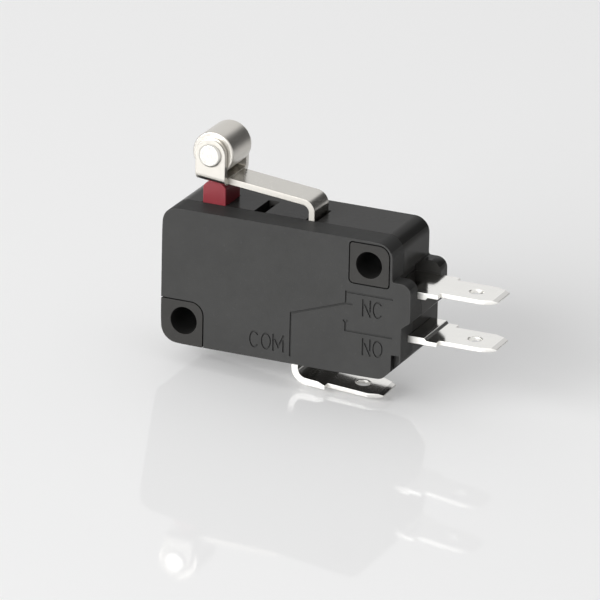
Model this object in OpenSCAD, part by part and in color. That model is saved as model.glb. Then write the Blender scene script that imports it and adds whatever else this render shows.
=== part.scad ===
// Snap-action micro switch with a hinged roller lever and three flat tabs.
// Lengths are millimetres. Body coordinates run x from the left end, y from mid-thickness (the front
// face is at -y) and z from the underside. The part's origin is the lower fixing hole at mid-thickness.

/* [Housing] */
// Length of the housing at its top edge
body_len = 27.8; // [27:0.1:30]
// Height of the housing
body_h = 15.9; // [15.4:0.1:17.5]
// Thickness of the closed housing
body_t = 10.3; // [9.9:0.1:12]
// Thickness of the front cover
cover_t = 3.15; // [2.8:0.05:3.4]
// Front and back wall over the mechanism
face_wall = 1.2; // [0.8:0.1:1.5]
// Floor and left end wall
end_wall = 1.3; // [1:0.1:1.6]
// Depth of the top wall that guides the plunger
guide_len = 3.4; // [3:0.1:3.8]
// Radius of the two upper corners
corner_r = 1.8; // [1:0.1:2.4]
// Radius of the lower left corner
foot_r = 2; // [1:0.1:2.4]
// Bevel of the lower right corner
foot_bevel = 2.3; // [1.5:0.1:2.8]
// Radius between the underside and that bevel
bevel_low_r = 1.2; // [0.8:0.1:1.6]
// Radius between that bevel and the right end
bevel_high_r = 0.6; // [0.3:0.1:0.8]

/* [Terminal end] */
// Reach of the lower step past the body
step_reach = 1.25; // [1:0.05:1.6]
// Reach of the two ears past the body
ear_reach = 2.25; // [2:0.05:2.8]
// Height at which the ears reach their full length
ear_foot = 7.15; // [6.6:0.05:7.6]
// Height of the ears' upper edge
ear_top = 11.6; // [11.2:0.1:12]
// Depth of the bay in the end wall over the upper terminal
bay_depth = 0.8; // [0.4:0.1:0.9]
// Height of the slope under the ears
ear_slope_h = 0.75; // [0.5:0.05:1]
// Radius at the foot of that slope
slope_r = 0.2; // [0.1:0.05:0.4]
// Radius of the ears' lower corner
ear_low_r = 0.3; // [0.2:0.05:0.5]
// Radius of the ears' upper corner
ear_high_r = 1.2; // [0.8:0.1:1.4]
// Radius in the corner over the ears
ear_root_r = 0.3; // [0.2:0.05:0.5]
// Width of the latch notch in the cover
notch_w = 0.95; // [0.7:0.05:1.2]
// Height of the latch notch's upper edge
notch_top = 3.1; // [2.8:0.1:3.5]
// Depth of the latch notch
notch_depth = 0.9; // [0.5:0.1:1.5]
// Wall left between the latch notch and the right end
notch_wall = 0.2; // [0.15:0.05:0.3]

/* [Fixing holes] */
// Distance of both fixing holes from the nearest edges
hole_inset = 2.8; // [2.7:0.05:3]
// Diameter of the lower left fixing hole
lower_hole_d = 3.2; // [2.9:0.05:3.4]
// Diameter of the upper right fixing hole
upper_hole_d = 3.1; // [2.9:0.05:3.4]
// Distance from a hole's axis to its boss's inner edges
boss_reach = 2.3; // [2.1:0.05:2.5]
// Radius of the lower boss's free corner
boss_r = 1.45; // [1:0.05:1.8]
// Radius of the upper boss's outer corner
upper_boss_r = 1.25; // [0.9:0.05:1.5]
// Radius of the upper boss's inner corner
inner_boss_r = 0.5; // [0.3:0.05:0.8]
// Radius of the upper boss's other two corners
side_boss_r = 0.3; // [0.2:0.05:0.5]
// Width of the cover's rim round the upper boss
cover_rim = 0.3; // [0.2:0.05:0.5]

/* [Plunger] */
// Distance of the plunger from the left end
plunger_x = 4.8; // [4.6:0.05:5.2]
// Width of the plunger's stem
plunger_w = 2.8; // [2.4:0.05:3]
// Height of the plunger above the housing when free
plunger_rise = 2.7; // [2.4:0.05:3]
// Radius of the plunger's crown
crown_r = 1.6; // [1.5:0.1:3]
// Width of the plunger's foot
plunger_foot_w = 3.8; // [3.4:0.1:4.2]
// Depth of the plunger's foot, front to back
plunger_foot_d = 5; // [4.6:0.1:5.4]
// Radius of the foot's lower edges
foot_low_r = 0.4; // [0.2:0.05:0.5]
// Radius of the foot's upper edges
foot_high_r = 0.3; // [0.2:0.05:0.5]

/* [Lever] */
// Sheet thickness of the lever
sheet_t = 0.7; // [0.5:0.05:0.8]
// Distance of the lever's leg from the left end
lever_x = 16.6; // [16:0.1:17.2]
// Slope of the lever's arm when free, in degrees
arm_slope = 6.1; // [4:0.1:7]
// Outer radius of the bend between leg and arm
bend_r = 1.5; // [1.2:0.1:1.8]
// Depth of the hinge axis below the top of the housing
hinge_depth = 1.15; // [1.05:0.05:1.3]
// Width of the hinge tongue's end, seen from the side
hinge_h = 0.9; // [0.7:0.05:0.95]
// Reach of the hinge tongues into the housing walls
hinge_reach = 0.95; // [0.7:0.05:1.2]
// Width of the two slots in the top face
slot_w = 1.3; // [1.2:0.05:1.5]
// Distance of the spare lever slot from the left end
spare_slot_x = 10.35; // [9.8:0.05:10.8]
// Edge radius of the hinge tongue
tongue_r = 0.1; // [0.05:0.01:0.15]
// Inner radius of the fold under a roller ear
ear_fold_r = 0.25; // [0.2:0.05:0.4]
// Width of an ear that holds the roller
roller_ear_w = 3.6; // [3.2:0.1:4]

/* [Roller] */
// Diameter of the roller
roller_d = 4.9; // [4:0.1:5.2]
// Length of the roller
roller_w = 4.95; // [4.4:0.05:5.2]
// Diameter of the roller's pin
pin_d = 1.5; // [1.2:0.1:1.8]
// Diameter of the pin's rivet heads
rivet_d = 2.7; // [2.2:0.1:2.8]
// Height of the pin's rivet heads
rivet_h = 0.35; // [0.2:0.05:0.45]
// Edge bevel of the roller
roller_edge = 0.1; // [0.1:0.05:0.4]
// Edge bevel of the rivet heads
rivet_edge = 0.2; // [0.05:0.05:0.3]
// Gap between the roller and the arm
roller_gap = 0.13; // [0.1:0.01:0.5]

/* [Terminals] */
// Width of a terminal's root
root_w = 6.35; // [6:0.05:6.6]
// Sheet thickness of a terminal
root_t = 0.8; // [0.7:0.05:0.9]
// Width of the flat tabs
tab_w = 4.75; // [4.4:0.05:5]
// Thickness of the flat tabs
tab_t = 0.5; // [0.4:0.05:0.6]
// Length of the flat tabs
tab_len = 6.5; // [6:0.1:7.5]
// Diameter of the hole in a tab
tab_hole_d = 1.5; // [1.2:0.1:1.8]
// Distance of a tab's hole from its tip
tab_hole_inset = 3.25; // [2.9:0.05:3.6]
// Length of the taper at a tab's tip
tip_taper_len = 1.7; // [1.2:0.1:2.1]
// Taper of each side at a tab's tip
tip_taper = 0.7; // [0.4:0.05:0.9]
// Length of the bevel on a tab's tip
tip_bevel_len = 0.55; // [0.4:0.05:1.2]
// Depth of the bevel on a tab's tip, on each face
tip_bevel = 0.17; // [0.08:0.01:0.2]
// Bevel round the hole in a tab
hole_bevel = 0.12; // [0.06:0.02:0.3]
// Length of an end terminal's root that is coined to the tab's thickness
coin_len = 1.5; // [1:0.1:1.8]
// Length of the steep slope where that coining starts
coin_slope = 0.25; // [0.15:0.05:0.5]
// Length of the coined slope on the common terminal
com_coin_len = 0.9; // [0.7:0.05:1.2]
// Reach of the two end terminals' roots past the body
root_reach = 4.65; // [4.3:0.05:5.2]
// Height of the upper tab's top face
nc_top = 10.2; // [10:0.05:10.4]
// Height of the lower tab's bottom face
no_bottom = 4.15; // [4.05:0.05:4.4]
// Distance of the common terminal's leg from the left end
com_x = 15.1; // [14.6:0.1:15.6]
// Drop of the common terminal's outer corner below the housing
com_drop = 2.9; // [2.6:0.1:3.4]
// Slope of the common terminal's run, down to its tip, in degrees
com_tilt = 4; // [0:0.5:6]
// Length of the common terminal's root, from its leg's outer face
com_run = 4.1; // [3.7:0.1:4.6]
// Outer radius of the common terminal's bend
com_bend_r = 1.9; // [1.4:0.1:2.1]

/* [Mechanism] */
// Wall between the lower boss and the pocket
pocket_wall = 0.75; // [0.65:0.05:0.85]
// Distance from the contacts to the pocket's right end
pocket_reach = 1.9; // [1.8:0.05:2.1]
// Cut of the pocket's upper right corner
pocket_slant = 2; // [1.6:0.1:2.2]
// Radius of the pocket's corners
pocket_r = 0.4; // [0.2:0.05:0.5]
// Distance of the contact arm's pivot from the left end
pivot_x = 9.15; // [8.9:0.05:9.6]
// Height of the contact arm's pivot
pivot_z = 7.5; // [7.3:0.05:7.6]
// Distance of the contacts from the left end
contact_x = 20.4; // [20:0.05:20.6]
// Diameter of the contacts
contact_d = 2.4; // [2:0.1:2.6]
// Height of a contact head on the arm
contact_h = 0.8; // [0.7:0.05:0.85]
// Height of the upper fixed contact's head
nc_head_h = 0.6; // [0.5:0.05:0.7]
// Swing of the contact arm, in degrees
arm_swing = 5.6; // [5.2:0.1:5.8]
// Sheet thickness of the contact arm
blade_t = 0.4; // [0.3:0.05:0.5]
// Taper of the contact arm to its knife edge
knife_len = 0.35; // [0.25:0.05:0.45]
// Blade left round a contact, and root left beside one
contact_rim = 0.3; // [0.2:0.05:0.4]
// Diameter of a contact's shank
contact_shank_d = 1.4; // [1.2:0.1:1.6]
// Diameter of the upset end of a fixed contact
upset_d = 2; // [1.8:0.1:2.2]
// Height of the upset end of a fixed contact
upset_h = 0.25; // [0.2:0.05:0.3]
// Crown radius of the contacts on the arm
dome_r = 4; // [3:0.5:6]
// Distance from the pivot to the arm's spring eye
eye_x = 7.65; // [7.5:0.05:7.8]
// Height of the spring eye over the blade
eye_h = 0.25; // [0.25:0.05:0.3]
// Thickness of the spring eye
eye_t = 0.4; // [0.3:0.05:0.5]
// Width of the spring eye
eye_w = 1.4; // [1.2:0.1:1.6]
// Metal left over the hole of the spring eye
eye_rim = 0.45; // [0.4:0.05:0.5]
// Half the distance between the two cheeks
cheek_in_y = 1.3; // [1.25:0.05:1.4]
// Depth of the post behind the pivot
post_back = 1.15; // [1:0.05:1.2]
// Depth of the post's knife-edge notch
notch_in = 0.45; // [0.4:0.05:0.5]
// Height of the post over the pivot
post_rise = 0.8; // [0.7:0.05:0.85]
// Radius of the post's and the cheeks' inner corners
post_r = 0.3; // [0.2:0.05:0.35]
// Distance from the pivot to the trunnions
trunnion_run = 3.25; // [3.15:0.05:3.35]
// Metal of a cheek from the trunnion's axis to its edges
trunnion_rim = 1; // [0.9:0.05:1.1]
// Radius of a cheek's outer corner, and of the fork's end
round_r = 0.9; // [0.7:0.05:0.9]
// Sheet thickness of the drive lever
fork_t = 0.5; // [0.4:0.05:0.55]
// Offset of the drive lever's nose from the plunger's axis
nose_run = 0.5; // [0.4:0.05:0.6]
// Width of the fork's end at the nose
fork_end_w = 0.84; // [0.6:0.02:0.94]
// Distance from the nose to the hole for the spring
hook_run = 1.1; // [1:0.05:1.15]
// Depth of the spring's tongue below the nose's axis
hook_drop = 0.35; // [0.3:0.05:0.4]
// Thickness of the spring's tongue
hook_t = 0.5; // [0.4:0.05:0.55]
// Width of the spring's tongue
hook_w = 1.8; // [1.6:0.1:2]
// Metal from the spring's hole to the end of the tongue
hook_rim = 0.5; // [0.45:0.05:0.55]
// Diameter of the holes for the spring's ends
hook_hole_d = 0.45; // [0.4:0.01:0.5]
// Diameter of the drive lever's trunnions
trunnion_d = 1.2; // [1:0.05:1.4]
// Height of the drive lever's trunnions
trunnion_z = 5.3; // [5.1:0.05:5.5]
// Diameter of the drive lever's nose
nose_d = 1.2; // [1:0.05:1.3]
// Height of the nose's axis
nose_z = 9.15; // [9.05:0.05:9.4]
// Wire diameter of the snap spring
wire_d = 0.25; // [0.2:0.01:0.3]
// Middle diameter of the snap spring's coil
coil_d = 1.3; // [1.1:0.05:1.4]
// Turns of the snap spring
coil_turns = 12; // [8:1:16]
// Length of the snap spring's straight ends
spring_end = 1.1; // [1:0.05:1.2]
// Length of the spring's end past the arm's eye
spring_tail = 0.5; // [0.45:0.05:0.6]

/* [Clearances] */
// Gap round pieces that slide or turn
run_gap = 0.05; // [0.03:0.01:0.08]
// Gap round terminals in their slots
fit_gap = 0.03; // [0.02:0.01:0.06]
// Gap between plunger and lever, and between plunger and drive lever
rest_gap = 0.06; // [0.05:0.01:0.1]
// Gap between closed contacts
contact_gap = 0.03; // [0.02:0.01:0.06]
// Joint between the cover and the bosses that pass through it
cover_gap = 0.12; // [0.08:0.02:0.2]
// Room for the hinge tongue to turn in its seat
seat_gap = 0.15; // [0.12:0.01:0.2]
// Room under the hinge tongue in its slot
slot_gap = 0.4; // [0.3:0.05:0.5]
// Gap between the plunger's foot and the top wall
foot_gap = 0.1; // [0.06:0.01:0.15]
// Gap between the drive lever's fork and the cheeks
fork_gap = 0.15; // [0.1:0.01:0.18]
// Room over the upper terminal in the pocket
root_gap = 0.3; // [0.25:0.05:0.4]
// Gap between the cheeks and the edges of the blade's window
window_gap = 0.1; // [0.08:0.01:0.15]

/* [Hidden] */

// Overshoot of cutting tools past the faces that they cut
over = 1;
// Angle between the points of a rounded corner
arc_step = 7.5;
// Sides of a true circle
round_fn = 64;

// Front face, back face, parting plane and the mirror of the parting plane
front_y = -body_t / 2;
back_y = body_t / 2;
part_y = front_y + cover_t;
slot_y = -part_y;
pocket_y = back_y - face_wall;

// Right-hand limits of the housing
step_x = body_len + step_reach;
ear_x = body_len + ear_reach;

// Fixing hole at the upper right, and the inner edges of the two bosses
upper_x = body_len - hole_inset;
upper_z = body_h - hole_inset;
boss_edge = hole_inset + boss_reach;

// Pocket for the mechanism
pocket_left = boss_edge + cover_gap + pocket_wall;
pocket_right = contact_x + pocket_reach;
pocket_top = body_h - guide_len;

// Lever: hinge axis, and height of the arm's underside over the plunger's axis
hinge_z = body_h - hinge_depth;
tongue_y = slot_y + hinge_reach;
lever_y = slot_y - run_gap;
plunger_top = body_h + plunger_rise;
crown_z = plunger_top - crown_r;
arm_low_z = crown_z + (crown_r + rest_gap) / cos(arm_slope);
pin_x = plunger_x;
pin_z = arm_low_z + (sheet_t + roller_gap + roller_d / 2) / cos(arm_slope);
ear_in_y = roller_w / 2 + run_gap;
ear_out_y = ear_in_y + sheet_t;
leg_right = lever_x + sheet_t / 2;

// Terminals
root_y = root_w / 2;
nc_bottom = nc_top - root_t;
no_top = no_bottom + root_t;
end_root_x = body_len + root_reach;
coin_x = end_root_x - coin_len;
strip_x = contact_x - contact_d / 2 - contact_rim;

// Common terminal: floor strip and the two cheeks that carry the pivots
cheek_out_y = cheek_in_y + root_t;
post_x = pivot_x - post_back;
post_face_x = pivot_x + notch_in;
post_top = pivot_z + post_rise;
trunnion_x = pivot_x + trunnion_run;
cheek_x = trunnion_x + trunnion_rim;
cheek_top = trunnion_z + trunnion_rim;

// Drive lever
fork_in_y = cheek_out_y + fork_gap;
fork_out_y = fork_in_y + fork_t;
nose_x = plunger_x + nose_run;
foot_z = nose_z + nose_d / 2 + rest_gap;
hook_x = nose_x + hook_run;
hook_z = nose_z - hook_drop;

// Contact arm: tilt when free, and the heights of the contact faces
arm_len = contact_x - pivot_x;
contact_reach = blade_t / 2 + contact_h;
nc_face = nc_bottom - nc_head_h;
free_tilt = atan((nc_face - contact_gap - contact_reach - pivot_z) / arm_len);
no_face = pivot_z + arm_len * tan(free_tilt - arm_swing) - contact_reach - contact_gap;
blade_y = cheek_out_y - run_gap;
window_y = cheek_in_y - window_gap;
eye_z = blade_t / 2 + eye_h;

// Outline helpers

function unit(v) = v / norm(v);
function flat(p) = [p.x, p.y];

// Points on a circle's arc round c, from angle a over the sweep s
function arc(c, r, a, s) =
    let (n = max(1, ceil(abs(s) / arc_step)))
    [for (i = [0:n]) c + r * [cos(a + s * i / n), sin(a + s * i / n)]];

// Arc of radius p.z in the corner p between its neighbours a and b
function corner(a, p, b) =
    let (u = unit(flat(a) - flat(p)), v = unit(flat(b) - flat(p)), half = acos(u * v) / 2)
    let (c = flat(p) + unit(u + v) * p.z / sin(half))
    let (s = flat(p) + u * p.z / tan(half) - c, e = flat(p) + v * p.z / tan(half) - c)
    let (turn = sign(s.x * e.y - s.y * e.x) * acos(max(-1, min(1, s * e / (norm(s) * norm(e))))))
    arc(c, p.z, atan2(s.y, s.x), turn);

// Outline through points [x, z, radius] with its corners rounded
function rounded(pts) =
    let (n = len(pts))
    [for (i = [0:n - 1])
        each pts[i].z > 0 ? corner(pts[(i + n - 1) % n], pts[i], pts[(i + 1) % n]) : [flat(pts[i])]];

// Body coordinates to the part's own frame
module in_frame() {
    translate([-hole_inset, 0, -hole_inset])
        children();
}

// Plate with an outline in x and z, from y0 to y1
module plate(outline, y0, y1) {
    translate([0, y1, 0])
        rotate([90, 0, 0])
            linear_extrude(y1 - y0)
                polygon(outline);
}

// Plate with an outline in x and y, from z0 to z1
module sheet(outline, z0, z1) {
    translate([0, 0, z0])
        linear_extrude(z1 - z0)
            polygon(outline);
}

// Box between two corners
module box(low, high) {
    translate(low)
        cube(high - low);
}

// Front and back limits of a piece that lies from y0 to y1 on one side of mid-thickness
function low_y(side, y0, y1) = side > 0 ? y0 : -y1;
function high_y(side, y0, y1) = side > 0 ? y1 : -y0;

// Round bar along y at a point in x and z
module bar(at, d, y0, y1) {
    translate([at.x, y1, at.y])
        rotate([90, 0, 0])
            cylinder(d = d, h = y1 - y0, $fn = round_fn);
}

// Housing

housing_outline = rounded([
    [0, 0, foot_r],
    [step_x - foot_bevel, 0, bevel_low_r],
    [step_x, foot_bevel, bevel_high_r],
    [step_x, ear_foot - ear_slope_h, slope_r],
    [ear_x, ear_foot, ear_low_r],
    [ear_x, ear_top, ear_high_r],
    [body_len, ear_top, ear_root_r],
    [body_len, body_h, corner_r],
    [0, body_h, corner_r]
]);

// Lower boss, which follows the housing's corner
lower_boss_outline = rounded([
    [0, 0, foot_r], [boss_edge, 0, 0], [boss_edge, boss_edge, boss_r], [0, boss_edge, 0]
]);

// Opening in the cover for the lower boss
lower_window_outline = rounded([
    [-over, -over, 0],
    [boss_edge + cover_gap, -over, 0],
    [boss_edge + cover_gap, boss_edge + cover_gap, boss_r + cover_gap],
    [-over, boss_edge + cover_gap, 0]
]);

// Upper boss, grown by gap for its opening in the cover
function upper_boss_outline(gap) =
    let (grow = gap - cover_gap - cover_rim)
    rounded([
        [upper_x - boss_reach - gap, upper_z - boss_reach - gap, inner_boss_r + gap],
        [body_len + grow, upper_z - boss_reach - gap, side_boss_r + gap],
        [body_len + grow, body_h + grow, upper_boss_r + gap],
        [upper_x - boss_reach - gap, body_h + grow, side_boss_r + gap]
    ]);

pocket_outline = rounded([
    [pocket_left, end_wall, pocket_r],
    [pocket_right, end_wall, pocket_r],
    [pocket_right, nc_top + root_gap, pocket_r],
    [pocket_right - pocket_slant, pocket_top, pocket_r],
    [end_wall, pocket_top, pocket_r],
    [end_wall, pocket_left, pocket_r],
    [pocket_left, pocket_left, pocket_r]
]);

// Channels for the three terminals and the open bay over the upper one
module terminal_channels() {
    y = root_y + fit_gap;
    box([pocket_right - over, -y, nc_bottom - fit_gap], [ear_x + over, y, nc_top + fit_gap]);
    box([body_len, -y, nc_top], [ear_x + over, y, ear_top + over]);
    box([body_len - bay_depth, -y, nc_top], [body_len + over, y, ear_top]);
    box([pocket_right - over, -y, no_bottom - fit_gap], [ear_x + over, y, no_top + fit_gap]);
    box([com_x - fit_gap, -y, -over], [com_x + root_t + fit_gap, y, end_wall + fit_gap]);
}

// Round seats for the lever's hinge tongues, from y0 to y1, under both slots
module hinge_seats(y0, y1) {
    seat_d = norm([sheet_t, hinge_h]) + seat_gap;
    for (x = [lever_x, spare_slot_x])
        bar([x, hinge_z], seat_d, y0, y1);
}

module case() {
    slot_floor = hinge_z - hinge_h / 2 - slot_gap;
    guide = plunger_w / 2 + run_gap;
    color("#2b2b2a")
        in_frame()
            difference() {
                union() {
                    plate(housing_outline, part_y, back_y);
                    plate(lower_boss_outline, front_y, part_y + over);
                    plate(upper_boss_outline(0), front_y, part_y + over);
                }
                plate(pocket_outline, part_y - over, pocket_y);
                bar([hole_inset, hole_inset], lower_hole_d, front_y - over, back_y + over);
                bar([upper_x, upper_z], upper_hole_d, front_y - over, back_y + over);
                box([plunger_x - guide, part_y - over, pocket_top - over],
                    [plunger_x + guide, slot_y, body_h + over]);
                for (x = [lever_x, spare_slot_x])
                    box([x - slot_w / 2, part_y - over, slot_floor],
                        [x + slot_w / 2, slot_y, body_h + over]);
                hinge_seats(slot_y - over, tongue_y + run_gap);
                terminal_channels();
            }
}

module cover() {
    notch_x = step_x - notch_wall;
    color("#3a3a38")
        in_frame()
            difference() {
                plate(housing_outline, front_y, part_y);
                plate(lower_window_outline, front_y - over, part_y + over);
                plate(upper_boss_outline(cover_gap), front_y - over, part_y + over);
                plate(pocket_outline, front_y + face_wall, part_y + over);
                hinge_seats(-tongue_y - run_gap, part_y + over);
                terminal_channels();
                box([notch_x - notch_w, front_y - over, 0], [notch_x, front_y + notch_depth, notch_top]);
            }
}

// Plunger: stem with a crowned top, and a foot that keeps it in the housing
module plunger() {
    half = plunger_w / 2;
    rim = asin(half / crown_r);
    crown = arc([plunger_x, crown_z], crown_r, 90 - rim, 2 * rim);
    foot = plunger_foot_w / 2;
    foot_top = pocket_top - foot_gap;
    stem_foot = [[plunger_x - half, foot_top - over], [plunger_x + half, foot_top - over]];
    color("#8f1f2c")
        in_frame() {
            plate(concat(stem_foot, crown), -lever_y, lever_y);
            plate(rounded([
                [plunger_x - foot, foot_z, foot_low_r], [plunger_x + foot, foot_z, foot_low_r],
                [plunger_x + foot, foot_top, foot_high_r], [plunger_x - foot, foot_top, foot_high_r]
            ]), -plunger_foot_d / 2, plunger_foot_d / 2);
        }
}

// Lever

// Height of the arm's underside, raised by h square to the sheet
function arm_z(x, h) = arm_low_z - (x - plunger_x) * tan(arm_slope) + h / cos(arm_slope);

// Folded strip: hinge end, leg, bend and sloping arm
lever_strip = rounded([
    [leg_right, hinge_z - hinge_h / 2, tongue_r],
    [leg_right, arm_z(leg_right, sheet_t), bend_r],
    [pin_x - roller_ear_w / 2, arm_z(pin_x - roller_ear_w / 2, sheet_t), 0],
    [pin_x - roller_ear_w / 2, arm_z(pin_x - roller_ear_w / 2, 0), 0],
    [leg_right - sheet_t, arm_z(leg_right - sheet_t, 0), bend_r - sheet_t],
    [leg_right - sheet_t, hinge_z - hinge_h / 2, tongue_r]
]);

// Side view of the roller's ears with the floor between them
ear_outline =
    let (half = roller_ear_w / 2)
    concat(
        [[pin_x - half, arm_z(pin_x - half, 0)], [pin_x + half, arm_z(pin_x + half, 0)]],
        arc([pin_x, pin_z], half, 0, 180)
    );

// Section of the channel that the ears form, across the arm
channel_section =
    let (top = roller_d + over, r = ear_fold_r)
    rounded([
        [-ear_out_y, 0, r + sheet_t], [ear_out_y, 0, r + sheet_t], [ear_out_y, top, 0],
        [ear_in_y, top, 0], [ear_in_y, sheet_t, r], [-ear_in_y, sheet_t, r],
        [-ear_in_y, top, 0], [-ear_out_y, top, 0]
    ]);

module roller_ears() {
    intersection() {
        plate(ear_outline, -ear_out_y, ear_out_y);
        translate([plunger_x, 0, arm_low_z])
            rotate([0, arm_slope, 0])
                rotate([90, 0, 90])
                    translate([0, 0, -roller_d])
                        linear_extrude(2 * roller_d)
                            polygon(channel_section);
    }
}

module lever() {
    color("#d9d4c8")
        in_frame()
            difference() {
                union() {
                    plate(lever_strip, -lever_y, lever_y);
                    roller_ears();
                    box([leg_right - sheet_t, -tongue_y, hinge_z - hinge_h / 2],
                        [leg_right, tongue_y, hinge_z + hinge_h / 2]);
                }
                bar([pin_x, pin_z], pin_d, -ear_out_y - over, ear_out_y + over);
            }
}

// Solid turned about the roller's axis, from points [radius, y]
module on_pin_axis(profile) {
    in_frame()
        translate([pin_x, 0, pin_z])
            rotate([-90, 0, 0])
                rotate_extrude($fn = round_fn)
                    polygon(profile);
}

module roller() {
    half = roller_w / 2;
    edge = roller_edge;
    bore = pin_d / 2 + run_gap;
    r = roller_d / 2;
    color("#cfcac0")
        on_pin_axis([
            [bore, -half], [r - edge, -half], [r, edge - half],
            [r, half - edge], [r - edge, half], [bore, half]
        ]);
}

module roller_pin() {
    top = ear_out_y + rivet_h;
    edge = rivet_edge;
    shank = pin_d / 2;
    head = rivet_d / 2;
    color("#dcd8cf")
        on_pin_axis([
            [0, -top], [head - edge, -top], [head, edge - top], [head, -ear_out_y], [shank, -ear_out_y],
            [shank, ear_out_y], [head, ear_out_y], [head, top - edge], [head - edge, top], [0, top]
        ]);
}

// Terminals

// Flat tab along +x from x0, with its lower face at z0
module tab(x0, z0) {
    tip = x0 + tab_len;
    half = tab_w / 2;
    z1 = z0 + tab_t;
    hole = [tip - tab_hole_inset, 0, 0];
    difference() {
        intersection() {
            sheet([
                [x0 - tab_t, -half], [tip - tip_taper_len, -half], [tip, tip_taper - half],
                [tip, half - tip_taper], [tip - tip_taper_len, half], [x0 - tab_t, half]
            ], z0 - over, z1 + over);
            plate([
                [x0 - tab_t, z0], [tip - tip_bevel_len, z0], [tip, z0 + tip_bevel],
                [tip, z1 - tip_bevel], [tip - tip_bevel_len, z1], [x0 - tab_t, z1]
            ], -tab_w, tab_w);
        }
        translate(hole + [0, 0, z0 - over])
            cylinder(d = tab_hole_d, h = tab_t + 2 * over, $fn = round_fn);
        translate(hole + [0, 0, z1 - hole_bevel])
            cylinder(d1 = tab_hole_d, d2 = tab_hole_d + 4 * hole_bevel, h = 2 * hole_bevel, $fn = round_fn);
    }
}

// Hole for a contact's shank through an end terminal
module contact_hole(z0) {
    translate([contact_x, 0, z0 - over])
        cylinder(d = contact_shank_d, h = root_t + 2 * over, $fn = round_fn);
}

// Upper end terminal, coined from below
module nc_terminal() {
    tab_z = nc_top - tab_t;
    color("#d8d6cf")
        in_frame()
            difference() {
                union() {
                    plate([
                        [strip_x, nc_bottom], [coin_x, nc_bottom], [coin_x + coin_slope, tab_z],
                        [end_root_x, tab_z], [end_root_x, nc_top], [strip_x, nc_top]
                    ], -root_y, root_y);
                    tab(end_root_x, tab_z);
                }
                contact_hole(nc_bottom);
            }
}

// Lower end terminal, coined from above
module no_terminal() {
    tab_top = no_bottom + tab_t;
    color("#d8d6cf")
        in_frame()
            difference() {
                union() {
                    plate([
                        [strip_x, no_bottom], [end_root_x, no_bottom], [end_root_x, tab_top],
                        [coin_x + coin_slope, tab_top], [coin_x, no_top], [strip_x, no_top]
                    ], -root_y, root_y);
                    tab(end_root_x, no_bottom);
                }
                contact_hole(no_bottom);
            }
}

// Side view of a cheek: floor, trunnion plate and post with its knife-edge notch
cheek_outline = rounded([
    [post_x, end_wall, 0], [cheek_x, end_wall, 0],
    [cheek_x, cheek_top, round_r], [post_face_x, cheek_top, post_r],
    [post_face_x, pivot_z - (post_face_x - pivot_x), 0], [pivot_x, pivot_z, 0],
    [post_face_x, pivot_z + (post_face_x - pivot_x), 0],
    [post_face_x, post_top, post_r], [post_x, post_top, post_r]
]);

// Corner of the common terminal's run: s along its sloping underside, h square to it, corner radius r
function run_corner(s, h, r) = [
    com_x + s * cos(com_tilt) + h * sin(com_tilt),
    h * cos(com_tilt) - s * sin(com_tilt) - com_drop, r
];

// Common terminal: tab, leg, floor strip, two cheeks and their trunnions
module com_terminal() {
    right = com_x + root_t;
    inner_s = root_t * (1 - sin(com_tilt)) / cos(com_tilt);
    cheek_mid_y = cheek_out_y - root_t / 2;
    color("#d8d6cf")
        in_frame() {
            plate(rounded([
                [com_x, end_wall + root_t, 0], run_corner(0, 0, com_bend_r), run_corner(com_run, 0, 0),
                run_corner(com_run, tab_t, 0), run_corner(com_run - com_coin_len, root_t, 0),
                run_corner(inner_s, root_t, com_bend_r - root_t), [right, end_wall + root_t, 0]
            ]), -root_y, root_y);
            translate([com_x, 0, -com_drop])
                rotate([0, com_tilt, 0])
                    tab(com_run, 0);
            box([post_x, -cheek_out_y, end_wall], [com_x + root_t / 2, cheek_out_y, end_wall + root_t]);
            for (side = [-1, 1]) {
                plate(cheek_outline,
                    low_y(side, cheek_in_y, cheek_out_y), high_y(side, cheek_in_y, cheek_out_y));
                bar([trunnion_x, trunnion_z], trunnion_d,
                    low_y(side, cheek_mid_y, fork_out_y), high_y(side, cheek_mid_y, fork_out_y));
            }
        }
}

// Contacts

// Flat head of a contact rivet along +z
module contact_head(h) {
    cylinder(d = contact_d, h = h, $fn = round_fn);
}

// Crowned head of a contact rivet along +z
module crowned_head(h) {
    intersection() {
        contact_head(h);
        translate([0, 0, h - dome_r])
            sphere(r = dome_r, $fn = round_fn);
    }
}

// Fixed contact: head, shank through the terminal's root and a flat upset end
module fixed_contact(h) {
    contact_head(h);
    translate([0, 0, -root_t - upset_h])
        cylinder(d = contact_shank_d, h = root_t + upset_h + h / 2, $fn = round_fn);
    translate([0, 0, -root_t - upset_h])
        cylinder(d = upset_d, h = upset_h, $fn = round_fn);
}

module nc_contact() {
    color("#c9c3b4")
        in_frame()
            translate([contact_x, 0, nc_bottom])
                mirror([0, 0, 1])
                    fixed_contact(nc_head_h);
}

module no_contact() {
    color("#c9c3b4")
        in_frame()
            translate([contact_x, 0, no_top])
                fixed_contact(no_face - no_top);
}

// Contact arm's own axes: x along the blade from the pivot, z square to it
module on_arm() {
    in_frame()
        translate([pivot_x, 0, pivot_z])
            rotate([0, -free_tilt, 0])
                children();
}

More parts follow.
